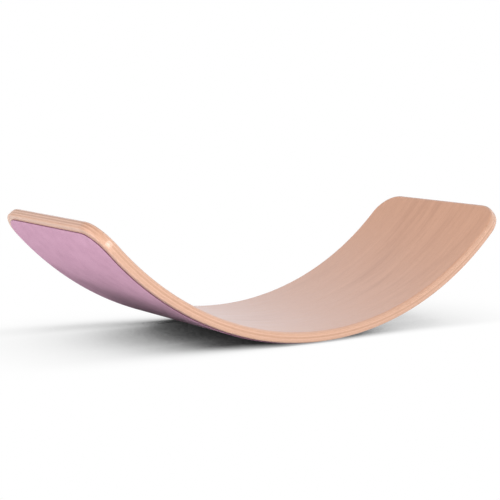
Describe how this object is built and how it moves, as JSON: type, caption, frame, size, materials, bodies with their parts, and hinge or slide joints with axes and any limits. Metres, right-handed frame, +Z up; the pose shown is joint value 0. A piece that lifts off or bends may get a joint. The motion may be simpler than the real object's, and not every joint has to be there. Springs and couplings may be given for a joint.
{
  "type": "balance board",
  "caption": "Curved rocking balance board of bent beech plywood with rounded corners and a felt-covered underside, for standing, rocking and sitting on.",
  "frame": {"origin": "on the floor, under the middle of the board", "axes": "+X along the board, +Y across it, +Z up out of the hollow face"},
  "size_m": [0.8, 0.3, 0.2021],
  "materials": {
    "beech_along": "satin clear lacquer",
    "beech_across": "satin clear lacquer",
    "wood_glue": "cured, matt",
    "adhesive_film": "matt",
    "felt": "pressed felt"
  },
  "bodies": {
    "root": {"face_veneer": "beech_along", "upper_long_veneer": "beech_along", "lower_long_veneer": "beech_along", "back_veneer": "beech_along", "upper_cross_veneer": "beech_across", "middle_cross_veneer": "beech_across", "lower_cross_veneer": "beech_across", "glue_line_1": "wood_glue", "glue_line_2": "wood_glue", "glue_line_3": "wood_glue", "glue_line_4": "wood_glue", "glue_line_5": "wood_glue", "glue_line_6": "wood_glue", "felt_adhesive": "adhesive_film", "felt_cover": "felt"}
  },
  "joints": []
}
